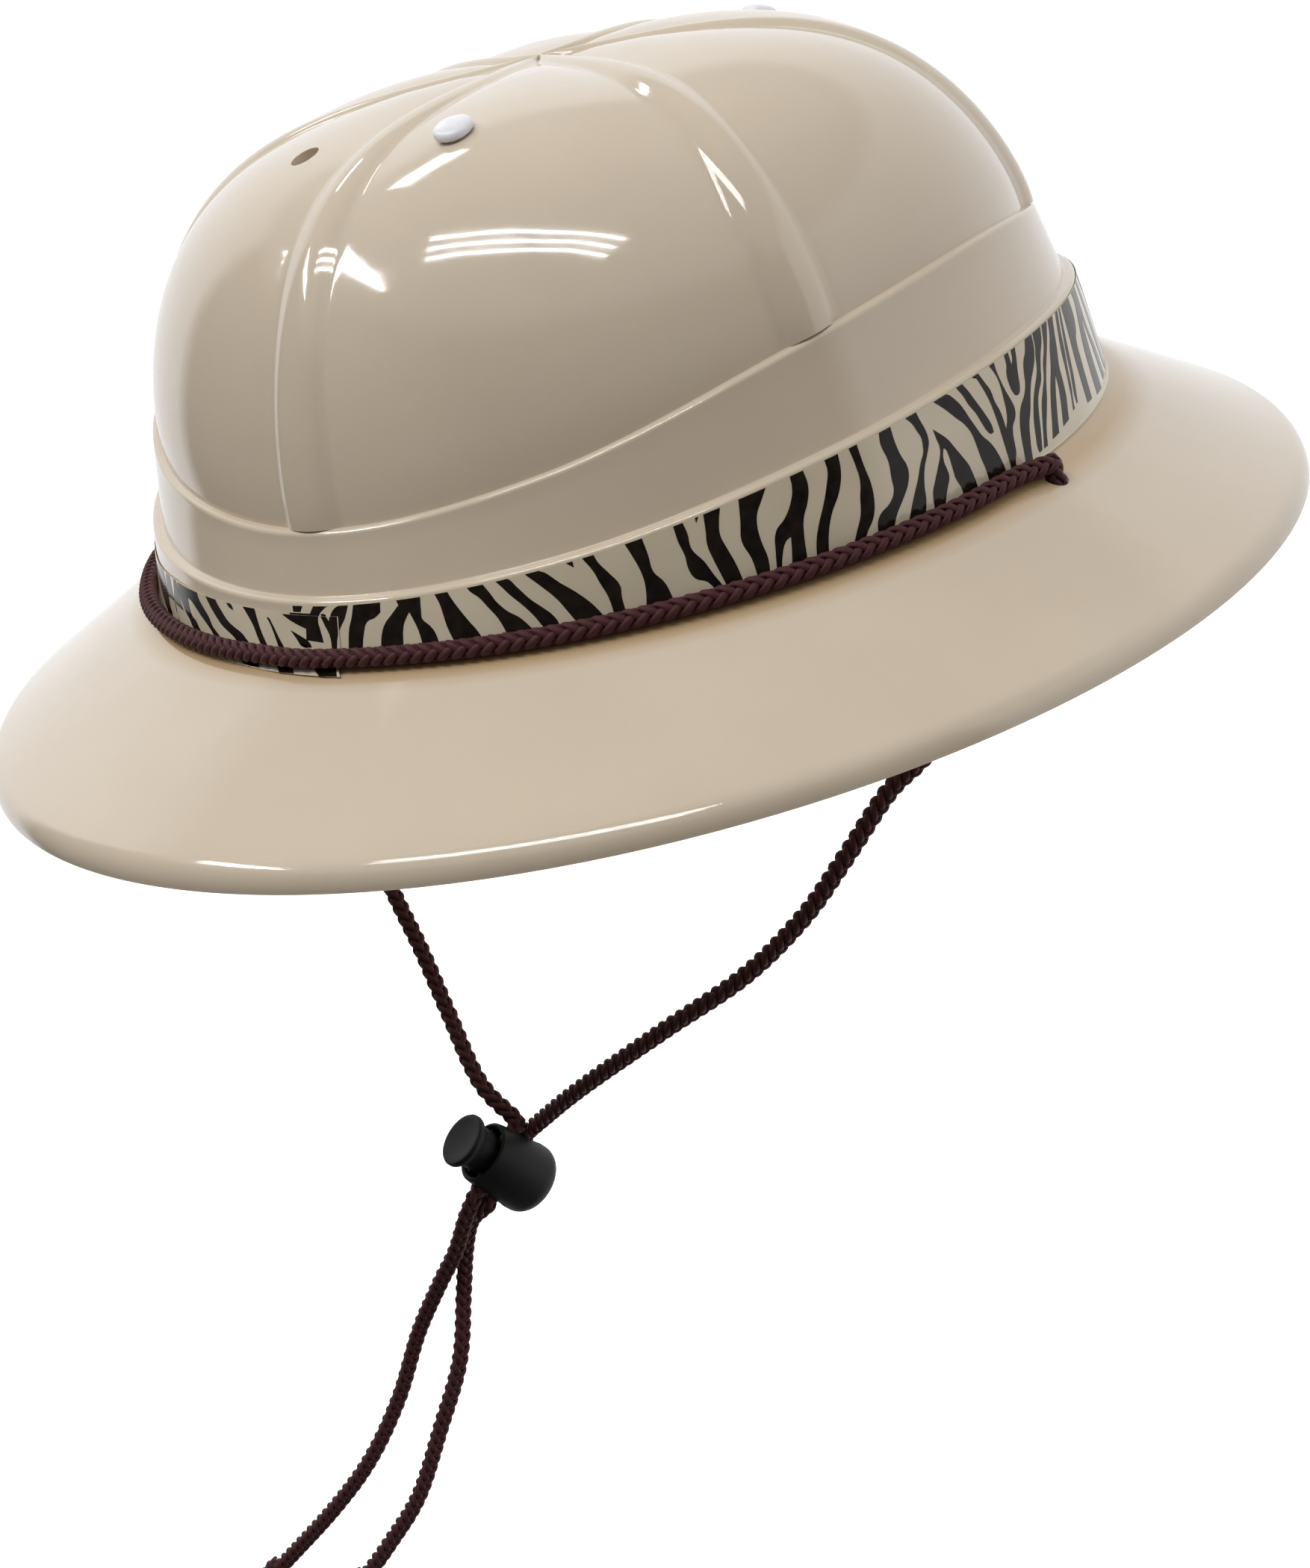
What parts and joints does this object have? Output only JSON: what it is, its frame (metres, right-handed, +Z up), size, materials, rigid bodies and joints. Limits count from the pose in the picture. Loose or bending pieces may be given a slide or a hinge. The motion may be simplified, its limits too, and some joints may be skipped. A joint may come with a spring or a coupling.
{
  "type": "pith helmet",
  "caption": "Moulded plastic pith helmet with ribbed crown, stepped bands, sloping brim, zebra film strip and a braided chin cord with a sprung cord lock.",
  "frame": {"origin": "centre of the head opening at the height where the crown meets the brim", "axes": "+Z up through the crown, -Y the helmet's front, +X to the right as seen from in front of it"},
  "size_m": [0.2854, 0.29, 0.35],
  "materials": {
    "cream_plastic": "glossy moulded polypropylene",
    "printed_film": "glossy film printed with black-brown zebra stripes on beige",
    "white_plastic": "smooth moulded",
    "brown_cord": "tightly braided satin yarn",
    "black_plastic": "fine matt moulded"
  },
  "bodies": {
    "root": {"helmet_shell": "cream_plastic", "zebra_band": "printed_film", "rivet_front_right": "white_plastic", "rivet_rear_right": "white_plastic", "rivet_rear_left": "white_plastic", "crown_cord": "brown_cord", "chin_cord_right": "brown_cord", "chin_cord_left": "brown_cord", "knot_right": "brown_cord", "knot_left": "brown_cord", "toggle_barrel": "black_plastic"},
    "plunger": {"toggle_plunger": "black_plastic"}
  },
  "joints": [
    {"name": "plunger_press", "type": "slide", "parent": "root", "child": "plunger", "axis": [0.261, 0.511, -0.819], "range_m": [0, 0.0025], "stiffness_N_per_m": 100}
  ]
}
